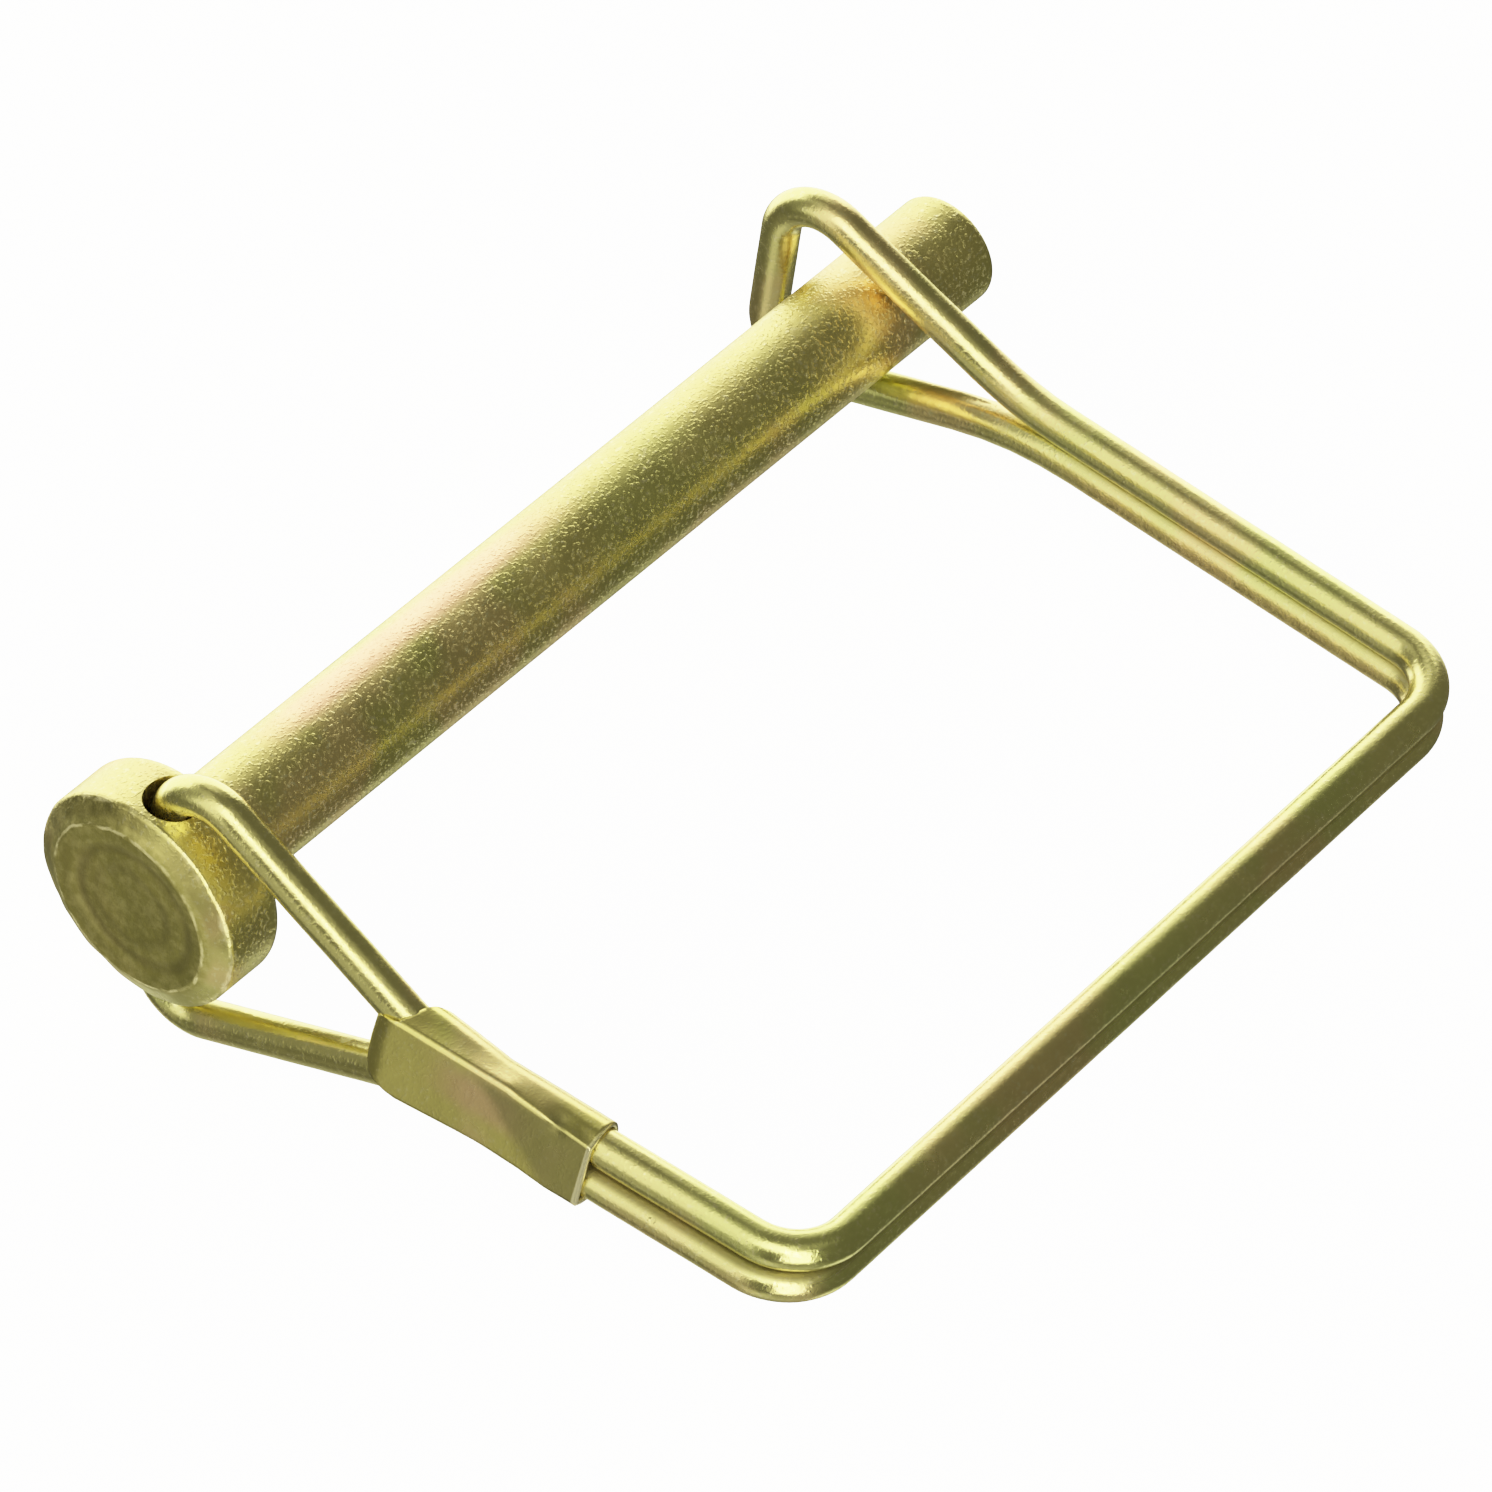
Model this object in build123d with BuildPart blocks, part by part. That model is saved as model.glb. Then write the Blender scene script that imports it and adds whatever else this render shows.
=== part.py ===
from build123d import *

import math
import os

# Square wire-lock hitch pin. Millimetres, +Z up.
# Origin: on the pin's axis, at the shoulder under the head. +X runs along the shank to its tip,
# the bail lies towards -Y, and +Z is the axis that the bail swings about in the head's cross hole.

# Headed pin
pin_radius = 3.97
shank_length = 75.0
tip_round = 0.7
head_radius = 7.95
head_height = 5.85
head_face_radius = 6.2
head_bevel_height = 0.92
head_back_round = 1.1
cross_hole_x = -2.43
cross_hole_radius = 1.85
cross_hole_countersink = 0.2

# Bail wire: one spring wire, doubled side by side except where it opens around the head and the shank
wire_radius = 1.335
strand_gap = 0.04
strand_z = wire_radius + strand_gap / 2
wire_end_z = 4.4
hinge_point = (-2.66, -0.2)
hinge_corner_z = 11.9
hinge_bend = 2.5

# The strands are stacked along Z, but the ferrule holds them twisted: the upper one leans towards
# the tip and the lower one away from it, by this much at the crimp and at the hinge
crimp_lean = 0.26
hinge_lean = 0.16

# Corners of the bail, as seen along Z
crimp_point = (-1.57, -21.45)
near_corner = (1.33, -49.4)
far_corner = (68.3, -47.9)
loop_crotch = (66.78, -12.9)
loop_corner = (65.2, 6.87)
loop_corner_z = 8.95
crimp_bend = 10
near_bend = 4.4
far_bend = 4.2
crotch_bend = 9
loop_bend = 3.5

# The wire springs open at the far corner, where the spring arm starts
spring_gap = 0.4
spring_arm_start = 4.8

# Crimped sheet ferrule
ferrule_sheet = 0.4
ferrule_length = 12.75
ferrule_play = 0.06
ferrule_throat = 4.7
ferrule_rim = 0.9
ferrule_lip = 3.5
ferrule_lip_height = 5.2
ferrule_lip_corner = 1.5
ferrule_mouth_rise = 0.9
ferrule_mouth_flare = 0.2


def along(start, end, distance):
    """The point at a distance from start towards end, both in the XY plane."""
    length = math.dist(start, end)
    return tuple(a + (b - a) * distance / length for a, b in zip(start, end))


def wire_section(route):
    """The wire's round section at the start of its route."""
    with BuildSketch(Plane(origin=route @ 0, z_dir=route % 0)) as section:
        Circle(wire_radius)
    return section.sketch


os.makedirs("parts", exist_ok=True)

# Headed pin: shank and head are one forging, cross-drilled through the head
with BuildPart() as headed_pin:
    with BuildSketch(Plane.XZ):
        with BuildLine():
            Polyline(
                (-head_height, 0),
                (-head_height, head_face_radius),
                (head_bevel_height - head_height, head_radius),
                (0, head_radius),
                (0, pin_radius),
                (shank_length, pin_radius),
                (shank_length, 0),
                close=True,
            )
        make_face()
    revolve(axis=Axis.X)
    back_edge = headed_pin.edges().filter_by(GeomType.CIRCLE).group_by(SortBy.RADIUS)[-1].sort_by(Axis.X)[-1]
    fillet(back_edge, head_back_round)
    tip_edge = headed_pin.edges().filter_by(GeomType.CIRCLE).sort_by(Axis.X)[-1]
    fillet(tip_edge, tip_round)
    with Locations((cross_hole_x, 0, 0)):
        Cylinder(cross_hole_radius, 3 * head_radius, mode=Mode.SUBTRACT)
    cone_height = 2 * cross_hole_countersink
    cone_radius = cross_hole_radius + cone_height
    with Locations((cross_hole_x, 0, head_radius)):
        Cone(cross_hole_radius, cone_radius, cone_height, mode=Mode.SUBTRACT)
    with Locations((cross_hole_x, 0, -head_radius)):
        Cone(cone_radius, cross_hole_radius, cone_height, mode=Mode.SUBTRACT)

# Hinge strands of the bail: each runs from the wire's end in the cross hole down the leg, through
# the ferrule, round the near corner, along the outer bar and round the far corner
strand_end = along(far_corner, loop_crotch, spring_arm_start - spring_gap)


def strand_route(side):
    """Corners of one hinge strand, side 1 for the upper strand and -1 for the lower one."""
    hinge_x = hinge_point[0] + side * hinge_lean
    lean = side * crimp_lean
    return [
        (hinge_x, hinge_point[1], side * wire_end_z),
        (hinge_x, hinge_point[1], side * hinge_corner_z),
        (crimp_point[0] + lean, crimp_point[1], side * strand_z),
        (near_corner[0] + lean, near_corner[1], side * strand_z),
        (*far_corner, side * strand_z),
        (*strand_end, side * strand_z),
    ]


strand_bends = [hinge_bend, crimp_bend, near_bend, far_bend]
with BuildPart() as bail_strand_upper:
    with BuildLine() as upper_route:
        FilletPolyline(*strand_route(1), radius=strand_bends)
    sweep(sections=wire_section(upper_route.line), path=upper_route.line)

with BuildPart() as bail_strand_lower:
    with BuildLine() as lower_route:
        FilletPolyline(*strand_route(-1), radius=strand_bends)
    sweep(sections=wire_section(lower_route.line), path=lower_route.line)

# Spring arm: the doubled wire from the far corner to where it opens around the shank
arm_start = along(far_corner, loop_crotch, spring_arm_start)
arm_end = along(loop_crotch, far_corner, crotch_bend / 4)
with BuildPart() as spring_arm_upper:
    with BuildLine() as arm_route:
        Line((*arm_start, strand_z), (*arm_end, strand_z))
    sweep(sections=wire_section(arm_route.line), path=arm_route.line)

with BuildPart() as spring_arm_lower:
    mirror(spring_arm_upper.part, about=Plane.XY)

# End loop: both strands open around the shank and join in a crossbar beyond it
with BuildPart() as end_loop:
    with BuildLine() as loop_route:
        FilletPolyline(
            (*arm_end, strand_z),
            (*loop_crotch, strand_z),
            (*loop_corner, loop_corner_z),
            (*loop_corner, -loop_corner_z),
            (*loop_crotch, -strand_z),
            (*arm_end, -strand_z),
            radius=[crotch_bend, loop_bend, loop_bend, crotch_bend],
        )
    sweep(sections=wire_section(loop_route.line), path=loop_route.line)

# Ferrule: sheet wrapped around both strands and twisted with them, opening towards the spread legs.
# Its mouth is cut back all round but for one lip, on the side away from the tip
ferrule_radius = wire_radius + ferrule_play + ferrule_sheet
crimp_origin = Vector(*crimp_point, 0)
arm_direction = (Vector(*near_corner, 0) - crimp_origin).normalized()
arm_side = Vector(0, 0, 1).cross(arm_direction)
strand_axis = arm_side * crimp_lean + Vector(0, 0, strand_z)


def ferrule_section(distance, rise, flare, inset):
    """The ferrule's rounded section at a distance along the hinge arm from the crimp point.

    It is higher by rise and wider by flare than the crimped section, and drawn in by inset.
    """
    origin = crimp_origin + arm_direction * distance
    with BuildSketch(Plane(origin=origin, x_dir=strand_axis, z_dir=arm_direction)) as section:
        RectangleRounded(
            2 * (strand_axis.length + ferrule_radius + rise - inset),
            2 * (ferrule_radius + flare - inset),
            ferrule_radius - ferrule_play - inset,
        )
    return section.sketch


with BuildPart() as crimp_ferrule:
    for inset, mode in ((0, Mode.ADD), (ferrule_sheet, Mode.SUBTRACT)):
        mouth = ferrule_section(-ferrule_lip, ferrule_mouth_rise, ferrule_mouth_flare, inset)
        throat = ferrule_section(ferrule_throat, 0, 0, inset)
        loft(sections=[mouth, throat], mode=mode)
        extrude(throat, amount=ferrule_length - ferrule_throat, mode=mode)
    side_plane = Plane(origin=crimp_origin, x_dir=arm_direction, z_dir=arm_side)
    for side in (1, -1):
        with BuildSketch(side_plane):
            with Locations((-ferrule_rim - ferrule_length / 2, 0)):
                Rectangle(ferrule_length, ferrule_length)
            if side < 0:
                with Locations((ferrule_length / 2 - ferrule_lip, 0)):
                    RectangleRounded(ferrule_length, ferrule_lip_height, ferrule_lip_corner, mode=Mode.SUBTRACT)
        extrude(amount=side * ferrule_length, mode=Mode.SUBTRACT)

headed_pin.part.label = "headed_pin"
bail_strand_upper.part.label = "bail_strand_upper"
bail_strand_lower.part.label = "bail_strand_lower"
spring_arm_upper.part.label = "spring_arm_upper"
spring_arm_lower.part.label = "spring_arm_lower"
end_loop.part.label = "end_loop"
crimp_ferrule.part.label = "crimp_ferrule"

for piece in (
    headed_pin,
    bail_strand_upper,
    bail_strand_lower,
    spring_arm_upper,
    spring_arm_lower,
    end_loop,
    crimp_ferrule,
):
    export_step(piece.part, f"parts/{piece.part.label}.step")
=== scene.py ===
import math

import bmesh
import bpy
import numpy as np
from mathutils import Matrix, Vector, noise


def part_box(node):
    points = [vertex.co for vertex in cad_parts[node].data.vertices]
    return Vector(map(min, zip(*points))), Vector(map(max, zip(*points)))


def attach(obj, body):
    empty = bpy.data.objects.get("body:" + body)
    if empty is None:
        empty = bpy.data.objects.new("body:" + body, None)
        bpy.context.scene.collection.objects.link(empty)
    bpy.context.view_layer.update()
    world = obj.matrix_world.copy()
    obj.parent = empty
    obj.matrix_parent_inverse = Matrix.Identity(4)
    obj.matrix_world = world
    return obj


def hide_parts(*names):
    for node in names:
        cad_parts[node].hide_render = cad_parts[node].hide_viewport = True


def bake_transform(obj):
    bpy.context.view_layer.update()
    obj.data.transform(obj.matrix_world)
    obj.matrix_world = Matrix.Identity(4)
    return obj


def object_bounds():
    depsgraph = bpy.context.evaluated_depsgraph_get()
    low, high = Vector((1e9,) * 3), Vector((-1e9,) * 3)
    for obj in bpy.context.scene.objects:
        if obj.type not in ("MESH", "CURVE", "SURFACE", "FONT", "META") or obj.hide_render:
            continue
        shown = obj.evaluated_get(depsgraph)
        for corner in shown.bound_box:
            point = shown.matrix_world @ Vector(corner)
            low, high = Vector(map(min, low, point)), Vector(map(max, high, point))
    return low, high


# Looks of the square wire-lock hitch pin. Lengths are in millimetres, in the record's frame, and turn
# into metres when a mesh is made or where they are multiplied by MM.
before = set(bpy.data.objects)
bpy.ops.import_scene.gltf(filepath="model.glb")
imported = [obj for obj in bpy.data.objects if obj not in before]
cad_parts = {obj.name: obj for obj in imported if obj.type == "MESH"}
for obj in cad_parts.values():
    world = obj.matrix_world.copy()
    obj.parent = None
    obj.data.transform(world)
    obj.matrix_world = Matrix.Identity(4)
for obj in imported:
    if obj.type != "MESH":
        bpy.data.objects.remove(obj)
cad_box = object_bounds()
MM = 0.001

head_low, head_high = (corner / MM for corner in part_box("headed_pin"))

# Headed pin
SHANK_END = head_high.x
HEAD_FACE_X = head_low.x
HEAD_RADIUS = head_high.y
PIN_RADIUS = 3.97
TIP_ROUND = 0.7
ROOT_ROUND = 0.15
FACE_RADIUS = 6.2
BEVEL_HEIGHT = 0.92
BACK_ROUND = 1.1
HOLE = (-2.53, 0.01)
HOLE_RADIUS = 1.78
# Worn edge of the cross hole: how much wider it is at a distance from the pin's axis
HOLE_FLARE = (
    (9.4, 1.9),
    (8.4, 0.6),
    (8.1, 0.28),
    (7.9, 0.14),
    (7.7, 0.06),
    (7.45, 0.02),
    (7.1, 0),
    (4, 0),
    (1, 0),
)
# Broken edges of the head's face and bevel: both start this far inside the corner. The face's ends
# behind and outside the corner by (x, radius), and the bevel's runs from before it to behind it.
EDGE_SETBACK = 0.12
FACE_EDGE = (0.05, 0.06)
BEVEL_EDGE = (0.08, 0.1)
# Wear along those edges: how far inside the face's edge it starts, and how far outside it starts to
# fade, then the range behind the face over which the outer edge's wear fades out. Its noise is taken
# round a circle.
FACE_WEAR = (1.2, 0.4)
SIDE_WEAR = (1.2, 3)
WEAR_RADIUS = 6
TIP_CENTRE = 0.1
PIN_COUNT = 240
DRILL_COUNT = 72

# The head's face: rings round a centre (y, z) that is a little off the axis, as (radius, width, depth)
RING_CENTRE = (-0.35, 0.3)
RING_DRIFT = 0.25
OUTER_GROOVE = (4.5, 0.5, 0.09)
INNER_RIDGE = (3.0, 0.45, 0.045)
DISH_EDGE = (3.2, 5.4)
DISH_DEPTH = 0.10
# The relief fades out over a width at the face's edge, and reaches a little behind the face's plane
RELIEF_FADE = 0.5
RELIEF_REACH = 0.02

# Bail wire
WIRE_RADIUS = 1.335
STRAND_Z = 1.312
WIRE_END_Z = 4.4
HINGE = (-2.66, -0.1)
HINGE_Z = 11.9
HINGE_LEAN = 0.16
CRIMP = (-1.57, -21.45)
CRIMP_LEAN = 0.26
NEAR_CORNER = (1.33, -49.4)
FAR_CORNER = (68.3, -47.9)
LOOP_CROTCH = (66.78, -12.9)
LOOP_CORNER = (65.2, 6.87)
LOOP_CORNER_Z = 8.95
HINGE_BEND = 3.2
CRIMP_BEND = 10
NEAR_BEND = 4.4
FAR_BEND = 4.2
CROTCH_BENDS = (18, 26)
LOOP_BEND = 3.5
WIRE_COUNT = 40
ROUTE_STEP = 0.7
ROUTE_TURN = 5
# Rounded wire ends: the flat's share of the radius, and how far the end stands out
END_FLAT = 0.7
END_RISE = 0.35

# Ferrule. Stations are distances along the arm from the crimp point, towards the near corner.
SHEET = 0.4
SHEET_PLAY = 0.06
FERRULE_END = 12.75
FERRULE_EDGE = 0.1
FERRULE_ROWS = 60
MOUTH_STATION = -1.8
INNER_PLAY = 0.03
FRONT_PLAY = 0.005
FOLD_RADIUS = 0.5
CREASE_RISE = 0.12
# Shares of the mouth's flare that the upper and the lower strand's circle move by, and of its rise
UPPER_FLARE = 0.8
LOWER_FLARE = 0.6
LOWER_RISE = 0.6
LIP_CURL = 0.35
LIP_CURL_RANGE = (2.1, 3.7)
CRIMP_DENT = Vector((-1.53, -31.6, 2.79))
DENT_DEPTH = 0.16
DENT_WIDTH = 0.65
WIRE_NICK = Vector((-0.99, -39.3, -0.48))
# Each line gives stations, and a measure of the section at those stations
MOUTH_RISE = (-3.6, -1, 3.4, 5), (0.62, 0.5, 0.12, 0)
MOUTH_FLARE = (-3.6, 0, 3.4, 4.8), (0.45, 0.4, 0.15, 0)
CREASE_Q = (-3.6, -1.8, 6.25, 7.2, 9.6, 10.7, 12.75), (3.0, 3.02, 2.98, 2.84, 2.54, 2.49, 2.26)
CREASE_RADIUS = (7, 12), (0.5, 0.3)
FOLD_Q = (-3.6, -1.3, 1.05, 3.4, 4.9, 8.4, 10.4, 12.8), (3.1, 3.0, 2.83, 2.6, 2.5, 2.6, 2.8, 2.83)
# The mouth's rim: a place across the section, and the rim's station there
LIP_P = -1.2
LIP_RIM = (
    (-2.95, -2.72, -2.55, -2.19, -1.89, -1.19, -0.64, 0.7, 2.55),
    (-0.8, -1.1, -1.75, -2.62, -3.09, -3.44, -3.53, -3.58, -3.5),
)
LIP_CORNER = (2.55, 2.75, 3.0), (0, 0.55, 1.6)
UPPER_RIM = (LIP_P, 0.3, 0.8, 1.5, 2.2), (-1.75, -1.05, -0.8, 0.0, 0.3)
LOWER_RIM = (LIP_P, 0, 1.5, 2.2), (-0.7, -0.4, 0.2, 0.3)
# Across the section, for the circles that the sheet is drawn over and for the spans between them:
# steps round each circle, steps along each span, and how far each span stands proud
ARC_STEPS = (18, 7, 8, 16)
SPAN_STEPS = (7, 26, 8, 20)
SPAN_BULGES = (0, 0.02, 0.04, 0)

# Unevenness, in layers of (height, size of a bump, seed)
WIRE_DENTS = ((0.012, 2.5, 1), (0.006, 0.9, 2))
INNER_EDGE_WEAR = ((0.11, 2.4, 3), (0.06, 0.9, 4))
OUTER_EDGE_WEAR = ((0.14, 2.8, 5), (0.07, 1.0, 6))
FACE_GRAIN = ((0.022, 1.3, 7), (0.012, 0.5, 8), (0.006, 0.2, 10))
RING_WANDER = ((RING_DRIFT, 4, 9),)
SHEET_DENTS = ((0.03, 3.5, 11), (0.012, 1.0, 12))
# How far the unevenness may stand proud. The surface is then drawn in, so that it stays in the CAD's box.
WIRE_BUMP = 0.004
SHEET_BUMP = 0.02
FACE_BUMP = 0.02
FACE_INSET = 0.022


def uneven(point, layers):
    """Smooth noise at a point, summed over layers of (height, size of a bump, seed)."""
    total = 0
    for height, size, seed in layers:
        total += height * noise.noise(Vector(point) / size + Vector((seed * 7.3, seed * 3.1, -seed * 5.7)))
    return total


def ease(value, low, high):
    """0 below low, 1 above high, and a smooth step between them."""
    t = min(max((value - low) / (high - low), 0), 1)
    return t * t * (3 - 2 * t)


def bell(value, centre, width):
    """1 at centre, falling away smoothly on both sides."""
    return math.exp(-((value - centre) / width) ** 2)


def make_object(name, points, faces):
    """A mesh object from points in millimetres."""
    mesh = bpy.data.meshes.new(name)
    mesh.from_pydata([tuple(Vector(p) * MM) for p in points], [], faces)
    obj = bpy.data.objects.new(name, mesh)
    bpy.context.scene.collection.objects.link(obj)
    return obj


def tidy_mesh(obj, sharp_degrees=None):
    """Merge doubles, turn the normals outward and shade smooth, with sharp edges above an angle."""
    work = bmesh.new()
    work.from_mesh(obj.data)
    bmesh.ops.remove_doubles(work, verts=work.verts, dist=1e-7)
    bmesh.ops.recalc_face_normals(work, faces=work.faces)
    work.to_mesh(obj.data)
    work.free()
    obj.data.shade_smooth()
    if sharp_degrees:
        obj.data.set_sharp_from_angle(angle=math.radians(sharp_degrees))


def skin(rings, closed_ends=True):
    """Points and faces of a skin over rings of points, all with the same count."""
    points = [p for ring in rings for p in ring]
    count = len(rings[0])
    faces = []
    for i in range(len(rings) - 1):
        a, b = i * count, (i + 1) * count
        for j in range(count):
            k = (j + 1) % count
            faces.append((a + j, a + k, b + k, b + j))
    if closed_ends:
        for base, end_ring in ((0, rings[0]), ((len(rings) - 1) * count, rings[-1])):
            points.append(middle(end_ring))
            for j in range(count):
                faces.append((base + j, base + (j + 1) % count, len(points) - 1))
    return points, faces


def middle(ring):
    """The mean of a ring of points."""
    return sum((Vector(p) for p in ring), Vector()) / len(ring)


# Bail wire


def filleted(corners, radii):
    """Points along a polyline with its corners rounded: straight runs and tangent arcs."""
    corners = [Vector(c) for c in corners]
    route = [corners[0]]

    def run_to(target):
        start = route[-1]
        steps = max(1, round((target - start).length / ROUTE_STEP))
        for i in range(1, steps + 1):
            route.append(start.lerp(target, i / steps))

    for before, corner, after, radius in zip(corners, corners[1:-1], corners[2:], radii):
        inward, outward = (before - corner).normalized(), (after - corner).normalized()
        half = inward.angle(outward) / 2
        run_to(corner + inward * radius / math.tan(half))
        centre = corner + (inward + outward).normalized() * radius / math.sin(half)
        spoke = route[-1] - centre
        axis = spoke.cross(-inward)
        turn = math.pi - 2 * half
        steps = max(3, round(math.degrees(turn) / ROUTE_TURN))
        for i in range(1, steps + 1):
            route.append(centre + Matrix.Rotation(turn * i / steps, 3, axis) @ spoke)
    run_to(corners[-1])
    return route


def strand_corners(side):
    """Corners from the wire's end in the cross hole to the loop's corner: side 1 is the upper strand."""
    hinge_x = HINGE[0] + side * HINGE_LEAN
    lean = side * CRIMP_LEAN
    strand_z = side * STRAND_Z
    return [
        (hinge_x, HINGE[1], side * WIRE_END_Z),
        (hinge_x, HINGE[1], side * HINGE_Z),
        (CRIMP[0] + lean, CRIMP[1], strand_z),
        (NEAR_CORNER[0] + lean, NEAR_CORNER[1], strand_z),
        (*FAR_CORNER, strand_z),
        (*LOOP_CROTCH, strand_z),
        (*LOOP_CORNER, side * LOOP_CORNER_Z),
    ]


def wire_rings(route):
    """Rings of points round the wire at each point of its route, slightly dented."""
    rings = []
    normal = Vector((1, 0, 0))
    for i, point in enumerate(route):
        ahead, behind = route[min(i + 1, len(route) - 1)], route[max(i - 1, 0)]
        tangent = (ahead - behind).normalized()
        normal = (normal - tangent * normal.dot(tangent)).normalized()
        other = tangent.cross(normal)
        ring = []
        for j in range(WIRE_COUNT):
            turn = 2 * math.pi * j / WIRE_COUNT
            spoke = normal * math.cos(turn) + other * math.sin(turn)
            surface = point + spoke * WIRE_RADIUS
            ring.append(surface + spoke * (min(uneven(surface, WIRE_DENTS), WIRE_BUMP) - WIRE_BUMP))
        rings.append(ring)
    return rings


def end_caps(end_ring, inside_ring):
    """Rings that shrink and stand out from the wire's end ring, to round its edge."""
    centre = middle(end_ring)
    outward = (centre - middle(inside_ring)).normalized()
    caps = []
    for angle in (30, 60, 80):
        shrink = END_FLAT + (1 - END_FLAT) * math.cos(math.radians(angle))
        push = outward * END_RISE * math.sin(math.radians(angle))
        caps.append([centre + (p - centre) * shrink + push for p in end_ring])
    return caps


def make_wire():
    """The bail's whole wire, from one end in the cross hole round the end loop to the other end."""
    strand_bends = [HINGE_BEND, CRIMP_BEND, NEAR_BEND, FAR_BEND]
    loop_bends = [CROTCH_BENDS[0], LOOP_BEND, LOOP_BEND, CROTCH_BENDS[1]]
    corners = strand_corners(1) + strand_corners(-1)[::-1]
    rings = wire_rings(filleted(corners, strand_bends + loop_bends + strand_bends[::-1]))
    rings = end_caps(rings[0], rings[1])[::-1] + rings + end_caps(rings[-1], rings[-2])
    wire = make_object("bail_wire", *skin(rings))
    tidy_mesh(wire, 60)
    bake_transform(wire)
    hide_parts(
        "bail_strand_upper",
        "bail_strand_lower",
        "spring_arm_upper",
        "spring_arm_lower",
        "end_loop",
    )
    return wire


# Headed pin


def arc_points(centre_x, centre_r, radius, start, end, steps):
    """Profile points (x, r) on an arc after its first point, angles in degrees from the +X direction."""
    found = []
    for i in range(1, steps + 1):
        angle = math.radians(start + (end - start) * i / steps)
        found.append((centre_x + radius * math.cos(angle), centre_r + radius * math.sin(angle)))
    return found


def line_points(start, end, steps):
    """Profile points (x, r) on a line after its first point."""
    start, end = np.array(start), np.array(end)
    return [tuple(start + (end - start) * i / steps) for i in range(1, steps + 1)]


def pin_profile():
    """Profile (x, r) from the middle of the head's face, round the head and along the shank to the tip."""
    bevel_back = HEAD_FACE_X + BEVEL_HEIGHT
    face_start = (HEAD_FACE_X, 0)
    face_end = (HEAD_FACE_X, FACE_RADIUS - EDGE_SETBACK)
    bevel_start = (HEAD_FACE_X + FACE_EDGE[0], FACE_RADIUS + FACE_EDGE[1])
    bevel_end = (bevel_back - BEVEL_EDGE[0], HEAD_RADIUS - EDGE_SETBACK)
    side_start = (bevel_back + BEVEL_EDGE[1], HEAD_RADIUS)
    side_end = (-BACK_ROUND, HEAD_RADIUS)
    back_start = (0, HEAD_RADIUS - BACK_ROUND)
    back_end = (0, PIN_RADIUS + ROOT_ROUND)
    shank_start = (ROOT_ROUND, PIN_RADIUS)
    tip_centre = (SHANK_END - TIP_ROUND, PIN_RADIUS - TIP_ROUND)
    profile = line_points(face_start, face_end, 52)
    profile += line_points(face_end, bevel_start, 4)
    profile += line_points(bevel_start, bevel_end, 12)
    profile += line_points(bevel_end, side_start, 4)
    profile += line_points(side_start, side_end, 28)
    profile += arc_points(-BACK_ROUND, HEAD_RADIUS - BACK_ROUND, BACK_ROUND, 90, 0, 12)
    profile += line_points(back_start, back_end, 16)
    profile += arc_points(ROOT_ROUND, PIN_RADIUS + ROOT_ROUND, ROOT_ROUND, 180, 270, 4)
    profile += line_points(shank_start, (tip_centre[0], PIN_RADIUS), 110)
    profile += arc_points(*tip_centre, TIP_ROUND, 90, 0, 10)
    profile += line_points((SHANK_END, tip_centre[1]), (SHANK_END, TIP_CENTRE), 16)
    return profile


def face_relief(y, z, around):
    """How far the head's face lies behind its plane at a place: a shallow dish, rings and fine grain."""
    ring_radius = math.hypot(y - RING_CENTRE[0], z - RING_CENTRE[1]) + uneven(around, RING_WANDER)
    depth = OUTER_GROOVE[2] * bell(ring_radius, OUTER_GROOVE[0], OUTER_GROOVE[1])
    depth += DISH_DEPTH * (1 - ease(ring_radius, *DISH_EDGE))
    depth -= INNER_RIDGE[2] * bell(ring_radius, INNER_RIDGE[0], INNER_RIDGE[1])
    return depth + max(uneven((y, z, 0), FACE_GRAIN), -FACE_BUMP) + FACE_INSET


def pin_point(x, r, turn):
    """A point of the pin's surface at a place on its profile, with the head's edges worn uneven."""
    y, z = math.cos(turn), math.sin(turn)
    around = (WEAR_RADIUS * y, WEAR_RADIUS * z, 0)
    worn_x, worn_r = x, r
    if x < 0:
        outside = ease(r, FACE_RADIUS + FACE_WEAR[1], HEAD_RADIUS)
        inner_edge = ease(r, FACE_RADIUS - FACE_WEAR[0], FACE_RADIUS) * (1 - outside)
        worn_r += inner_edge * uneven(around, INNER_EDGE_WEAR)
        outer_edge = outside * (1 - ease(x, HEAD_FACE_X + SIDE_WEAR[0], HEAD_FACE_X + SIDE_WEAR[1]))
        worn_x += outer_edge * uneven(around, OUTER_EDGE_WEAR)
    if x < HEAD_FACE_X + RELIEF_REACH:
        inside = 1 - ease(r, FACE_RADIUS - RELIEF_FADE, FACE_RADIUS)
        worn_x += face_relief(y * r, z * r, around) * inside
    return Vector((worn_x, worn_r * y, worn_r * z))


def make_pin():
    """The headed pin, turned from its profile and cross-drilled through the head."""
    turns = [2 * math.pi * j / PIN_COUNT for j in range(PIN_COUNT)]
    rings = [[pin_point(x, r, turn) for turn in turns] for x, r in pin_profile()]
    pin = make_object("pin", *skin(rings))
    tidy_mesh(pin)
    cut_cross_hole(pin)
    tidy_mesh(pin, 40)
    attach(pin, "pin")
    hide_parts("headed_pin")
    return pin


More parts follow.
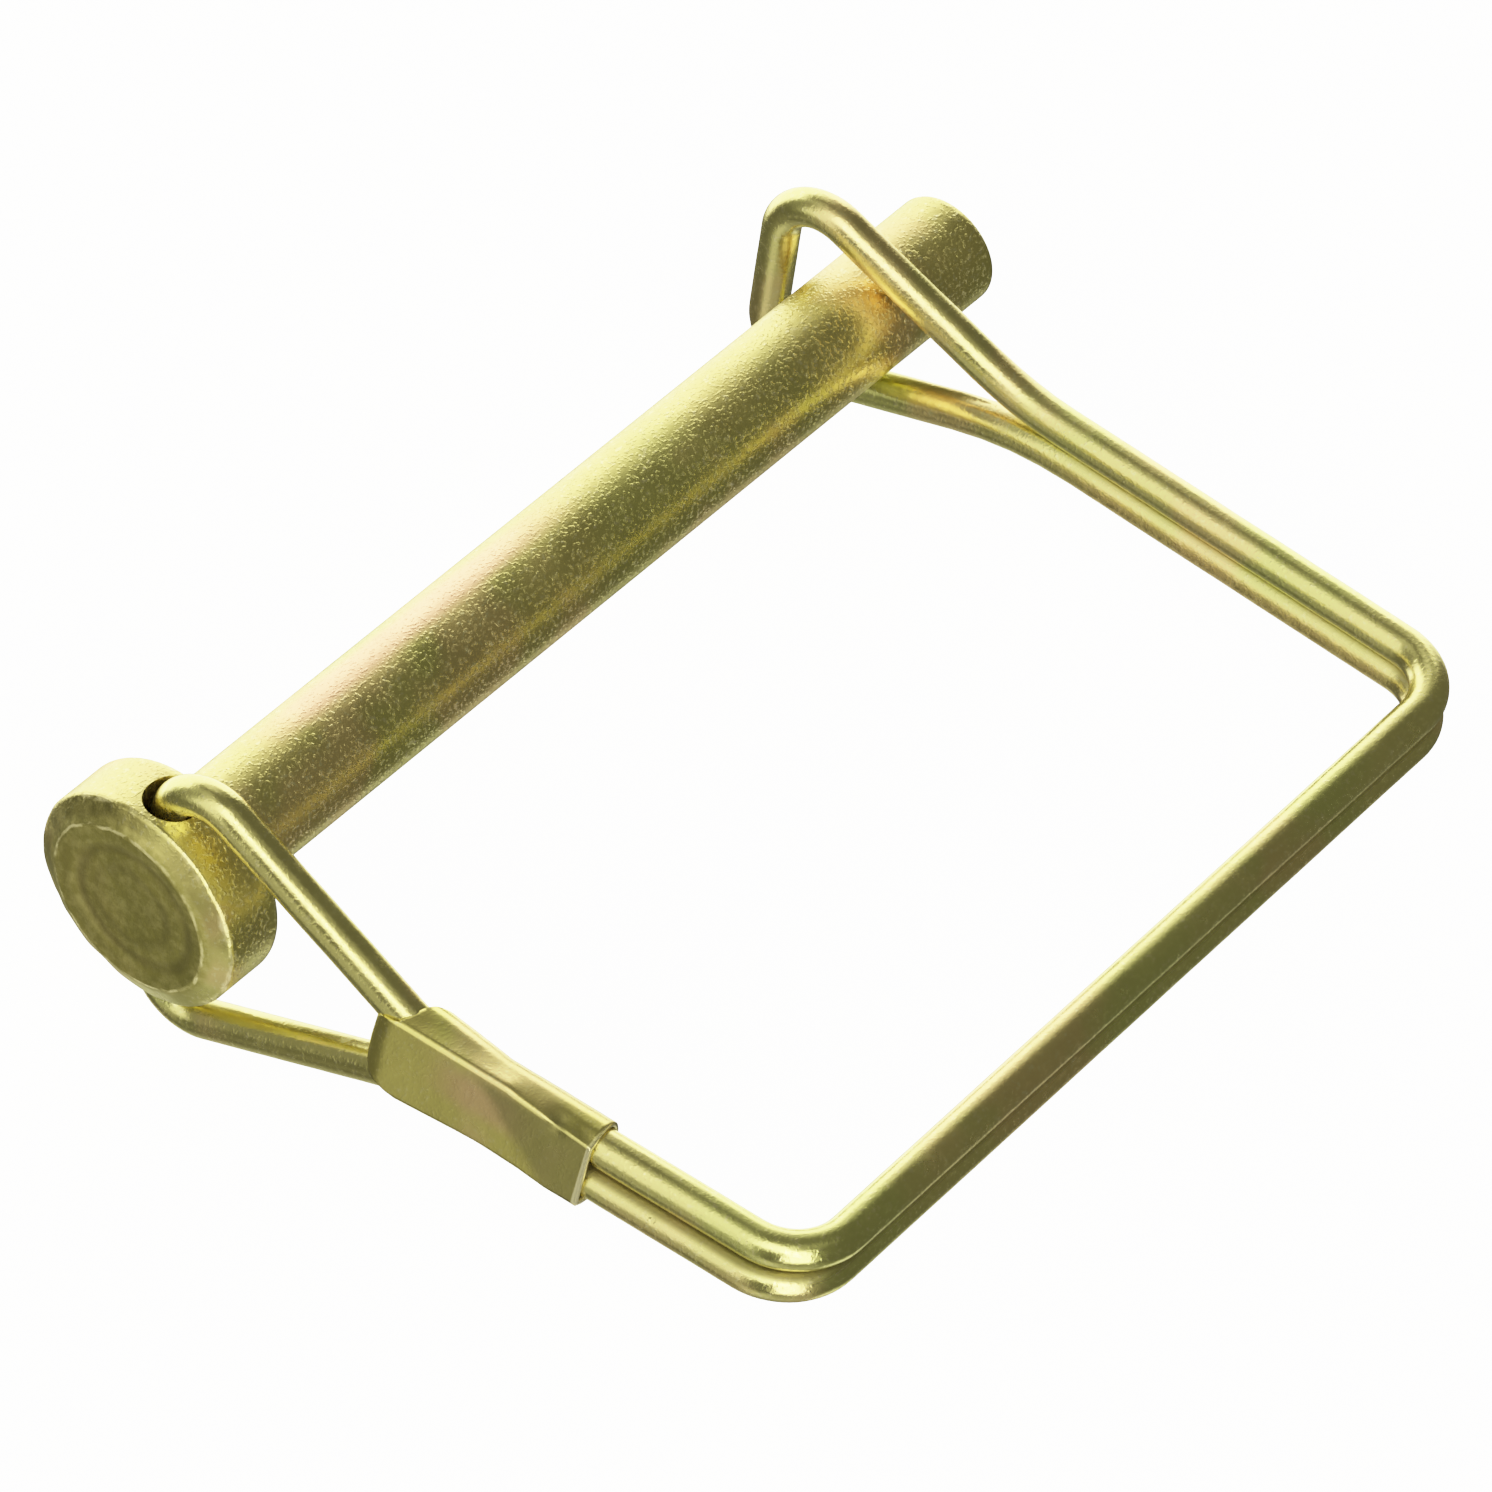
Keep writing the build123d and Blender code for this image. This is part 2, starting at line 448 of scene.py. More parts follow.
def cut_cross_hole(pin):
    """Drill the cross hole, with worn edges that flare out where it meets the head's side."""
    stations = [(z, HOLE_RADIUS + growth) for z, growth in HOLE_FLARE]
    stations += [(-z, r) for z, r in stations[::-1]]
    turns = [2 * math.pi * j / DRILL_COUNT for j in range(DRILL_COUNT)]
    rings = []
    for z, r in stations:
        rings.append([Vector((HOLE[0] + r * math.cos(t), HOLE[1] + r * math.sin(t), z)) for t in turns])
    drill = make_object("drill", *skin(rings))
    tidy_mesh(drill)
    cut = pin.modifiers.new("cross_hole", "BOOLEAN")
    cut.operation = "DIFFERENCE"
    cut.solver = "EXACT"
    cut.object = drill
    depsgraph = bpy.context.evaluated_depsgraph_get()
    result = bpy.data.meshes.new_from_object(pin.evaluated_get(depsgraph))
    pin.modifiers.clear()
    pin.data = result
    bpy.data.objects.remove(drill)


# Ferrule: its section is a skin drawn tight over circles, one for each strand and one for each fold.
# p runs towards the tip and q along the line through the two strands, both across the arm.

CRIMP_ORIGIN = Vector((*CRIMP, 0))
ARM = (Vector((*NEAR_CORNER, 0)) - CRIMP_ORIGIN).normalized()
ARM_SIDE = Vector((0, 0, 1)).cross(ARM)
STRAND_AXIS = ARM_SIDE * CRIMP_LEAN + Vector((0, 0, STRAND_Z))
STRAND_Q = STRAND_AXIS.length
Q_AXIS = STRAND_AXIS.normalized()
P_AXIS = ARM.cross(Q_AXIS) * (1 if ARM.cross(Q_AXIS).dot(ARM_SIDE) > 0 else -1)
# Radius of the sheet's outside where it hugs a strand
HUG = WIRE_RADIUS + SHEET_PLAY + SHEET


def at(place, measures):
    """The measure at a place, from (places, measures at those places), with straight lines between."""
    return float(np.interp(place, *measures))


def ferrule_circles(s):
    """(p, q, radius) of the circles under the sheet at a station.

    They are for the upper strand, the crease in front of it, the fold below that, and the lower strand.
    """
    rise, flare = at(s, MOUTH_RISE), at(s, MOUTH_FLARE)
    crease_radius = at(s, CREASE_RADIUS)
    front = -HUG - FRONT_PLAY
    return [
        (flare * UPPER_FLARE, STRAND_Q + rise, HUG),
        (front + crease_radius, at(s, CREASE_Q) - crease_radius + CREASE_RISE, crease_radius),
        (front + FOLD_RADIUS, FOLD_RADIUS - at(s, FOLD_Q), FOLD_RADIUS),
        (flare * LOWER_FLARE, -STRAND_Q - rise * LOWER_RISE, HUG),
    ]


def ferrule_section(s):
    """Places and outward normals, as (p, q, normal p, normal q), round the sheet's outside at a station.

    They go counter-clockwise from the first circle: an arc on each circle, then a span to the next.
    """
    circles = ferrule_circles(s)
    followers = circles[1:] + circles[:1]
    touches = []
    for (p, q, r), (p2, q2, r2) in zip(circles, followers):
        direction = math.atan2(q2 - q, p2 - p)
        touches.append(direction - math.acos((r - r2) / math.hypot(p2 - p, q2 - q)))
    section = []
    for i, ((p, q, r), (p2, q2, r2)) in enumerate(zip(circles, followers)):
        start = touches[i - 1]
        end = start + (touches[i] - start) % (2 * math.pi)
        for k in range(ARC_STEPS[i] + 1):
            angle = start + (end - start) * k / ARC_STEPS[i]
            across, upward = math.cos(angle), math.sin(angle)
            section.append((p + r * across, q + r * upward, across, upward))
        across, upward = math.cos(end), math.sin(end)
        for k in range(1, SPAN_STEPS[i]):
            t = k / SPAN_STEPS[i]
            proud = SPAN_BULGES[i] * 4 * t * (1 - t)
            reach = r + (r2 - r) * t + proud
            place = (p + (p2 - p) * t + across * reach, q + (q2 - q) * t + upward * reach)
            section.append((*place, across, upward))
    return section


def mouth_start(p, q):
    """The rim's station for a place on the section: one lip on the front, cut back elsewhere."""
    if p < LIP_P:
        return at(q, LIP_RIM) + at(q, LIP_CORNER)
    return at(p, UPPER_RIM if q > 0 else LOWER_RIM)


def make_ferrule():
    """The crimped sheet ferrule: its outside, its inside and the two rims between them."""
    starts = [mouth_start(p, q) for p, q, *_ in ferrule_section(MOUTH_STATION)]
    outer, inner, normals = [], [], []
    for i in range(FERRULE_ROWS + 1):
        t = i / FERRULE_ROWS
        outer_row, inner_row, normal_row = [], [], []
        for j, start in enumerate(starts):
            s = start + (FERRULE_END - start) * t
            p, q, across, upward = ferrule_section(s)[j]
            p += LIP_CURL * ease(-s, *LIP_CURL_RANGE) ** 2 if p < LIP_P else 0
            point = CRIMP_ORIGIN + ARM * s + P_AXIS * p + Q_AXIS * q
            normal = P_AXIS * across + Q_AXIS * upward
            crimp = DENT_DEPTH * bell((point - CRIMP_DENT).length, 0, DENT_WIDTH)
            dent = uneven(point, SHEET_DENTS) - crimp
            outer_row.append(point + normal * (min(dent, SHEET_BUMP) - SHEET_BUMP))
            inner_row.append(point - normal * (SHEET + INNER_PLAY))
            normal_row.append(normal)
        outer.append(outer_row)
        inner.append(inner_row)
        normals.append(normal_row)
    rims = []
    for row, shift in ((0, ARM * -FERRULE_EDGE), (-1, ARM * FERRULE_EDGE)):
        insets = [normal * FERRULE_EDGE for normal in normals[row]]
        rims.append([point - inset + shift for point, inset in zip(outer[row], insets)])
        rims.append([point + inset + shift for point, inset in zip(inner[row], insets)])
    near, near_in, far, far_in = rims
    loops = [near] + outer + [far, far_in] + inner[::-1] + [near_in, near]
    ferrule = make_object("ferrule", *skin(loops, closed_ends=False))
    tidy_mesh(ferrule, 50)
    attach(ferrule, "bail")
    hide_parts("crimp_ferrule")
    return ferrule


# Materials. Noise scales are per metre.

DEGREE = math.radians(1)
BUMP_DEPTH = 0.00002

# Tints of the plating: gold, and the green and the pink that it drifts to
PIN_TINTS = (0.75, 0.645, 0.285), (0.69, 0.645, 0.265), (0.90, 0.62, 0.385)
WIRE_TINTS = (0.80, 0.72, 0.34), (0.73, 0.72, 0.31), (0.94, 0.67, 0.40)
SHEET_TINTS = (0.79, 0.69, 0.265), (0.72, 0.69, 0.24), (0.92, 0.66, 0.43)
PALE = (0.93, 0.84, 0.56)

# The places of marks are in millimetres, or in degrees round the pin's axis. A pair says where a mark
# starts to show and where it is full. Three numbers are its centre, the half width of its full part, and
# the half width where it ends, and a reach is those two half widths. Strengths go from 0 to 1, depths are
# in BUMP_DEPTHs, and drifts are how far noise moves an edge, in millimetres.

# Marks on the pin
BLOOM_TINT = (1.0, 0.57, 0.48)
BLOOM_STRENGTH = 0.85
BLOOM_START_X = (6, 13)
BLOOM_END_X = (40, 28)
BLOOM_DEGREES = (20, 8, 26)
SPECKS_X = (-5.6, -4.6)
FACE_X = (-5.45, -5.75)
FACE_DARK = (0.47, 0.42, 0.155)
FACE_LIGHT = (0.70, 0.62, 0.29)
FACE_STRENGTH = 0.85
FACE_ROUGHER = 0.12
FACE_DEPTH = 1.5
RING_TINT = (0.30, 0.26, 0.12)
RING_STRENGTH = 0.6
RING_DRIFTS = 0.8
OUTER_RING = (4.9, 0.1, 0.7)
INNER_RING = (3.3, 0.1, 0.7)
INNER_RING_STRENGTH = 0.6
# Painted shade on one side of the bevel: its tint, its strengths, and where it falls along the axis, outward
# and round the axis
BEVEL_SHADE_TINT = (0.26, 0.23, 0.10)
BEVEL_SHADE_STRENGTHS = (0.8, 0.45)
BEVEL_X = (-4.85, -5.00)
BEVEL_OUTSIDE = (6.1, 6.3)
BEVEL_SHADE_DEGREES = (48, 28, 62)
RUBBED_TINT = (1.0, 0.90, 0.52)
RUBBED_STRENGTH = 0.4
RUBBED_CHALK = 0.5
RUBBED_DRIFTS = 0.6
INNER_RUB = (FACE_RADIUS, 0.03, 0.16)
INNER_RUB_X = (-5.0, -5.4)
OUTER_RUB_X = (HEAD_FACE_X + BEVEL_HEIGHT, 0.03, 0.18)

# Marks on the wire
NICK_REACH = (0.05, 0.35)
NICK_DEPTH = 4.0
SCUFFS_ROUGHER = 0.1
ARM_TINT = (0.98, 0.66, 0.34)
ARM_STRENGTH = 0.6
ARM_X = (60, 66)
ARM_Y = (-46, -42)
ARM_LOWER_Z = (-0.4, -1.0)
ARM_TINT_Y = (-12, -22)
SCRATCH_DEPTH = 0.9
# Painted shade in the seam where the strands touch, and a rougher surface there
SEAM_SHADE_TINT = (0.16, 0.12, 0.06)
SEAM_SHADE_STRENGTH = 0.75
SEAM_ROUGHER = 0.25
SEAM_Y = (-14, -20)
SEAM_Z = (0, 0.1, 0.5)
ARM_SEAM_LOSS = 0.5

# Marks on the ferrule. Its far end is darkened with painted shade, and the shade's slanting edge is where z
# times the slant, less y, lies within the edge's range.
SHEET_BLOOM_TINT = (0.98, 0.60, 0.46)
SHEET_BLOOM_STRENGTH = 0.55
SHEET_BLOOM_Y = (-26.5, 1, 5)
SHEET_BLOOM_Z = (1.2, 0.4, 1.8)
# Painted shade over the crimp dent and over the far end of the sheet: its tint and strength, then where it
# falls
SHEET_SHADE_TINT = (0.34, 0.30, 0.16)
SHEET_SHADE_STRENGTH = 0.7
DENT_REACH = (0.2, 1.3)
SHADE_SLANT = 1.26
SHADE_DRIFTS = 1.2
SHADE_EDGE = (28.8, 30.8)
SHADE_Z = (3.2, 2.4)
# A painted highlight along the far rim, where the sheet's cut edge catches the light
RIM_HIGHLIGHT_TINT = (1.0, 0.95, 0.80)
RIM_HIGHLIGHT_STRENGTH = 0.22
RIM_Y = (-34.02, -34.14)


class Nodes:
    """A short way to add shader nodes and link them."""

    def __init__(self, tree):
        self.tree = tree
        tree.nodes.clear()

    def put(self, node, key, value):
        """Link a socket to an input, or set the input to a value."""
        if isinstance(value, bpy.types.NodeSocket):
            self.tree.links.new(value, node.inputs[key])
        else:
            node.inputs[key].default_value = value

    def add(self, kind, sockets=None, **settings):
        node = self.tree.nodes.new(kind)
        for key, value in settings.items():
            setattr(node, key, value)
        for key, value in (sockets or {}).items():
            self.put(node, key, value)
        return node

    def xyz(self, vector):
        outputs = self.add("ShaderNodeSeparateXYZ", {0: vector}).outputs
        return outputs["X"], outputs["Y"], outputs["Z"]

    def math(self, operation, a, b=0.0):
        return self.add("ShaderNodeMath", {0: a, 1: b}, operation=operation).outputs[0]

    def times(self, first, *others):
        for other in others:
            first = self.math("MULTIPLY", first, other)
        return first

    def plus(self, first, *others):
        for other in others:
            first = self.math("ADD", first, other)
        return first

    def distance(self, a, b):
        """The length of the vector (a, b)."""
        return self.math("SQRT", self.plus(self.math("POWER", a, 2), self.math("POWER", b, 2)))

    def ramp(self, value, low, high, to_low=0.0, to_high=1.0, unit=1):
        """A smooth step from to_low at low to to_high at high, both in a unit."""
        sockets = {"Value": value, "From Min": low * unit, "From Max": high * unit}
        sockets.update({"To Min": to_low, "To Max": to_high})
        return self.add("ShaderNodeMapRange", sockets, interpolation_type="SMOOTHSTEP").outputs["Result"]

    def band(self, value, centre, near, far, unit=1):
        """1 where value is within near of centre, falling to 0 at far from it, all three in a unit."""
        away = self.math("ABSOLUTE", self.math("SUBTRACT", value, centre * unit))
        return self.ramp(away, far, near, unit=unit)

    def spot(self, place, centre, near, far):
        """1 within near of a point, falling to 0 at far from it, all in millimetres."""
        away = self.add("ShaderNodeVectorMath", {0: place, 1: centre * MM}, operation="DISTANCE")
        return self.ramp(away.outputs["Value"], far, near, unit=MM)

    def noise(self, vector, scale, detail=3.0, roughness=0.5):
        sockets = {"Vector": vector, "Scale": scale, "Detail": detail, "Roughness": roughness}
        return self.add("ShaderNodeTexNoise", sockets).outputs["Fac"]

    def mix(self, factor, a, b):
        """Colour a, turning to b as the factor goes from 0 to 1. Inputs 6 and 7 are its colours."""
        node = self.add("ShaderNodeMix", data_type="RGBA")
        for key, value in ((0, factor), (6, a), (7, b)):
            self.put(node, key, (*value, 1) if isinstance(value, tuple) else value)
        return node.outputs[2]


def plated(name, tints, roughness, fleck, grain, marks):
    """Yellow zinc plating: gold metal whose tint drifts to green and pink, with fine flecks, painted pale as
    glints, and dimples.

    fleck and grain say how strong the flecks and the dimples are. marks is given the nodes, the place,
    and the colour, roughness, height and chalk so far, and returns its own last four. Chalk is the
    share of the surface that isn't metal.
    """
    material = bpy.data.materials.new(name)
    material.use_nodes = True
    nodes = Nodes(material.node_tree)
    place = nodes.add("ShaderNodeTexCoord").outputs["Object"]
    gold, green, pink = tints
    patches = nodes.noise(place, 260, 3)
    fine = nodes.noise(place, 2600, 2, 0.6)
    colour = nodes.mix(nodes.ramp(nodes.noise(place, 75, 2), 0.44, 0.62), gold, green)
    colour = nodes.mix(nodes.ramp(nodes.noise(place, 130, 2), 0.48, 0.64, to_high=0.55), colour, pink)
    colour = nodes.mix(nodes.ramp(fine, 0.56, 0.72, to_high=grain), colour, PALE)
    rough = nodes.ramp(patches, 0.3, 0.7, roughness - 0.04, roughness + 0.05)
    # Raised specks catch the light in the dark parts and break up the edge of the highlights, and are also
    # painted pale and partly not metal, a painted glint.
    # The head's face has none.
    away = nodes.ramp(nodes.xyz(place)[0], *SPECKS_X, unit=MM)
    specks = nodes.times(nodes.ramp(nodes.noise(place, 4000, 1, 0.4), 0.5, 0.72), away)
    height = nodes.plus(nodes.times(specks, fleck), nodes.times(fine, grain), nodes.times(patches, 0.8))
    chalk = nodes.times(specks, 0.085 * fleck)
    colour = nodes.mix(chalk, colour, PALE)
    colour, rough, height, chalk = marks(nodes, place, colour, rough, height, chalk)
    bump = nodes.add("ShaderNodeBump", {"Strength": 1.0, "Distance": BUMP_DEPTH, "Height": height})
    metallic = nodes.math("SUBTRACT", 1.0, chalk)
    sockets = {"Base Color": colour, "Metallic": metallic, "Roughness": rough, "Normal": bump.outputs[0]}
    shader = nodes.add("ShaderNodeBsdfPrincipled", sockets)
    nodes.add("ShaderNodeOutputMaterial", {"Surface": shader.outputs[0]})
    return material


def pin_marks(nodes, place, colour, rough, height, chalk):
    """A pink bloom on the shank, a dull ringed face, painted shade on one side of the bevel, and rubbed
    edges.
    """
    x, y, z = nodes.xyz(place)
    stretch = nodes.times(nodes.ramp(x, *BLOOM_START_X, unit=MM), nodes.ramp(x, *BLOOM_END_X, unit=MM))
    side = nodes.band(nodes.math("ARCTAN2", y, z), *BLOOM_DEGREES, unit=DEGREE)
    colour = nodes.mix(nodes.times(stretch, side, BLOOM_STRENGTH), colour, BLOOM_TINT)
    # The face is mottled, and darker along its two rings
    face = nodes.ramp(x, *FACE_X, unit=MM)
    mottle = nodes.noise(place, 1100, 4, 0.65)
    dull = nodes.mix(nodes.ramp(mottle, 0.4, 0.66), FACE_DARK, FACE_LIGHT)
    ring_y = nodes.math("SUBTRACT", y, RING_CENTRE[0] * MM)
    ring_z = nodes.math("SUBTRACT", z, RING_CENTRE[1] * MM)
    wander = nodes.times(nodes.noise(place, 300, 2), RING_DRIFTS * MM)
    radius = nodes.plus(nodes.distance(ring_y, ring_z), wander)
    inner_ring = nodes.times(nodes.band(radius, *INNER_RING, unit=MM), INNER_RING_STRENGTH)
    ring = nodes.math("MAXIMUM", nodes.band(radius, *OUTER_RING, unit=MM), inner_ring)
    dull = nodes.mix(nodes.times(ring, RING_STRENGTH), dull, RING_TINT)
    colour = nodes.mix(nodes.times(face, FACE_STRENGTH), colour, dull)
    rough = nodes.plus(rough, nodes.times(face, FACE_ROUGHER))
    height = nodes.plus(height, nodes.times(face, mottle, FACE_DEPTH))
    # Painted shade darkens the bevel on the side turned from the light, and its two edges are rubbed bright
    out = nodes.distance(y, z)
    shaded_quarter = nodes.band(nodes.math("ARCTAN2", z, y), *BEVEL_SHADE_DEGREES, unit=DEGREE)
    bevel = nodes.times(nodes.ramp(x, *BEVEL_X, unit=MM), nodes.ramp(out, *BEVEL_OUTSIDE, unit=MM))
    shade = nodes.times(shaded_quarter, bevel, nodes.ramp(mottle, 0.3, 0.6, *BEVEL_SHADE_STRENGTHS))
    colour = nodes.mix(shade, colour, BEVEL_SHADE_TINT)
    wander = nodes.times(nodes.math("SUBTRACT", nodes.noise(place, 500, 3, 0.7), 0.5), RUBBED_DRIFTS * MM)
    inner_rub = nodes.band(nodes.plus(out, wander), *INNER_RUB, unit=MM)
    inner_rub = nodes.times(inner_rub, nodes.ramp(x, *INNER_RUB_X, unit=MM))
    outer_rub = nodes.band(nodes.plus(x, wander), *OUTER_RUB_X, unit=MM)
    worn = nodes.ramp(nodes.noise(place, 700, 3, 0.6), 0.42, 0.6)
    rubbed = nodes.times(nodes.math("MAXIMUM", inner_rub, outer_rub), worn, RUBBED_STRENGTH)
    colour = nodes.mix(rubbed, colour, RUBBED_TINT)
    chalk = nodes.math("MAXIMUM", chalk, nodes.times(rubbed, RUBBED_CHALK))
    return colour, rough, height, chalk


def wire_marks(nodes, place, colour, rough, height, chalk):
    """A small nick beside the ferrule, scuffs, an orange lower strand on the spring arm, and painted shade
    in the seam between the strands.
    """
    x, y, z = nodes.xyz(place)
    nick = nodes.times(nodes.spot(place, WIRE_NICK, *NICK_REACH), nodes.noise(place, 4000, 1))
    height = nodes.math("SUBTRACT", height, nodes.times(nick, NICK_DEPTH))
    scuffs = nodes.ramp(nodes.noise(place, 420, 4, 0.7), 0.58, 0.7, to_high=SCUFFS_ROUGHER)
    rough = nodes.plus(rough, scuffs)
    # The spring arm's lower strand is orange and scratched
    spring_arm = nodes.times(nodes.ramp(x, *ARM_X, unit=MM), nodes.ramp(y, *ARM_Y, unit=MM))
    below = nodes.ramp(z, *ARM_LOWER_Z, unit=MM)
    lower = nodes.times(spring_arm, below, nodes.ramp(y, *ARM_TINT_Y, unit=MM))
    scratches = nodes.ramp(nodes.noise(place, 900, 5, 0.75), 0.45, 0.62)
    colour = nodes.mix(nodes.times(lower, ARM_STRENGTH), colour, ARM_TINT)
    height = nodes.plus(height, nodes.times(scratches, lower, SCRATCH_DEPTH))
    # Painted shade darkens the seam where the strands touch, less of it on the spring arm, and the seam is
    # rougher
    seam = nodes.times(nodes.band(z, *SEAM_Z, unit=MM), nodes.ramp(y, *SEAM_Y, unit=MM))
    seam = nodes.times(seam, nodes.math("SUBTRACT", 1.0, nodes.times(spring_arm, ARM_SEAM_LOSS)))
    colour = nodes.mix(nodes.times(seam, SEAM_SHADE_STRENGTH), colour, SEAM_SHADE_TINT)
    rough = nodes.plus(rough, nodes.times(seam, SEAM_ROUGHER))
    return colour, rough, height, chalk


def ferrule_marks(nodes, place, colour, rough, height, chalk):
    """A pink bloom below the crease, painted shade over the far end past a slanting edge and over the dent,
    and a painted highlight on the far rim.
    """
    _, y, z = nodes.xyz(place)
    pink = nodes.times(nodes.band(y, *SHEET_BLOOM_Y, unit=MM), nodes.band(z, *SHEET_BLOOM_Z, unit=MM))
    colour = nodes.mix(nodes.times(pink, SHEET_BLOOM_STRENGTH), colour, SHEET_BLOOM_TINT)
    # The far end, past a slanting edge, and the crimp dent are darkened with painted shade
    slant = nodes.math("SUBTRACT", nodes.times(z, SHADE_SLANT), y)
    slant = nodes.plus(slant, nodes.times(nodes.noise(place, 300, 2), SHADE_DRIFTS * MM))
    dull = nodes.times(nodes.ramp(slant, *SHADE_EDGE, unit=MM), nodes.ramp(z, *SHADE_Z, unit=MM))
    sheet_shade = nodes.math("MAXIMUM", nodes.spot(place, CRIMP_DENT, *DENT_REACH), dull)
    colour = nodes.mix(nodes.times(sheet_shade, SHEET_SHADE_STRENGTH), colour, SHEET_SHADE_TINT)
    # Painted highlight along the far rim: pale and partly not metal
    rim = nodes.times(nodes.ramp(y, *RIM_Y, unit=MM), RIM_HIGHLIGHT_STRENGTH)
    colour = nodes.mix(rim, colour, RIM_HIGHLIGHT_TINT)
    chalk = nodes.math("MAXIMUM", chalk, rim)
    return colour, rough, height, chalk


# Studio

# Camera angles in degrees: azimuth 0 looks along +Y. Its target and distance are in millimetres.
CAMERA_AZIMUTH = -56.585
CAMERA_ELEVATION = 49.046
CAMERA_ROLL = 9.204
CAMERA_TARGET = Vector((32.154, -18.687, 0))
CAMERA_DISTANCE = 835.16
CAMERA_LENS = 317.06
CAMERA_SENSOR = 36
CAMERA_FAR = 20000
FLOOR_RADIUS = 2500
FLOOR_COLOUR = (0.86, 0.86, 0.86, 1)
FLOOR_ROUGHNESS = 0.9
FLOOR_GLOW = (1, 1, 1.06, 1)
FLOOR_GLOW_STRENGTH = 3.4
SURROUND = 0.15
LIGHT_TINT = (1, 1, 0.62, 1)
# Windows of brightness: each line holds the azimuth, half width and softness, the elevation, half height
# and softness, all in degrees, and the brightness
WINDOWS = (
    (57, 48, 9, -1, 33, 7, 3.6),
    (54, 16, 12, 44, 10, 10, 0.9),
    (42, 20, 14, 50, 14, 10, 0.3),
    (-129, 15, 3, 10, 34, 8, 4.8),
    (-157, 24, 14, 48, 20, 8, 3.9),
    (163, 17, 7, 30, 32, 14, 1.7),
    (174, 13, 8, -16, 24, 10, 0.36),
    (125, 32, 15, 56, 14, 10, 0.4),
    (130, 20, 12, 34, 36, 12, 0.14),
    (-110, 40, 15, 62, 12, 10, 0.24),
    (30, 16, 10, 38, 8, 7, 0.3),
    (168, 20, 12, -38, 9, 8, 0.1),
    (-140, 45, 15, -58, 20, 12, 0.35),
    (-168, 18, 12, -52, 14, 10, 0.5),
    (70, 30, 12, -66, 6, 5, 0.8),
    (-43, 32, 9, -63, 8, 6, 1.4),
    (0, 200, 10, -85, 22, 10, 0.2),
    (0, 200, 10, 85, 20, 8, 0.06),
)
BRIGHTEST = 6
CURVE_LEVELS = (0.25, 0.5, 1, 1.5, 2, 3, 4)


def add_camera():
    """The camera, at the photograph's viewing angle."""
    azimuth, elevation, roll = (math.radians(a) for a in (CAMERA_AZIMUTH, CAMERA_ELEVATION, CAMERA_ROLL))
    level = math.cos(elevation)
    outward = Vector((math.sin(azimuth) * level, -math.cos(azimuth) * level, math.sin(elevation)))
    right = (-outward).cross(Vector((0, 0, 1))).normalized()
    up = right.cross(-outward)
    rolled_right = right * math.cos(roll) + up * math.sin(roll)
    rolled_up = up * math.cos(roll) - right * math.sin(roll)
    camera = bpy.data.objects.new("camera", bpy.data.cameras.new("camera"))
    camera.data.lens = CAMERA_LENS
    camera.data.sensor_width = CAMERA_SENSOR
    camera.data.clip_end = CAMERA_FAR * MM
    pose = Matrix((rolled_right, rolled_up, outward)).transposed().to_4x4()
    pose.translation = CAMERA_TARGET * MM + outward * (CAMERA_DISTANCE * MM)
    camera.matrix_world = pose
    bpy.context.scene.collection.objects.link(camera)
    bpy.context.scene.camera = camera


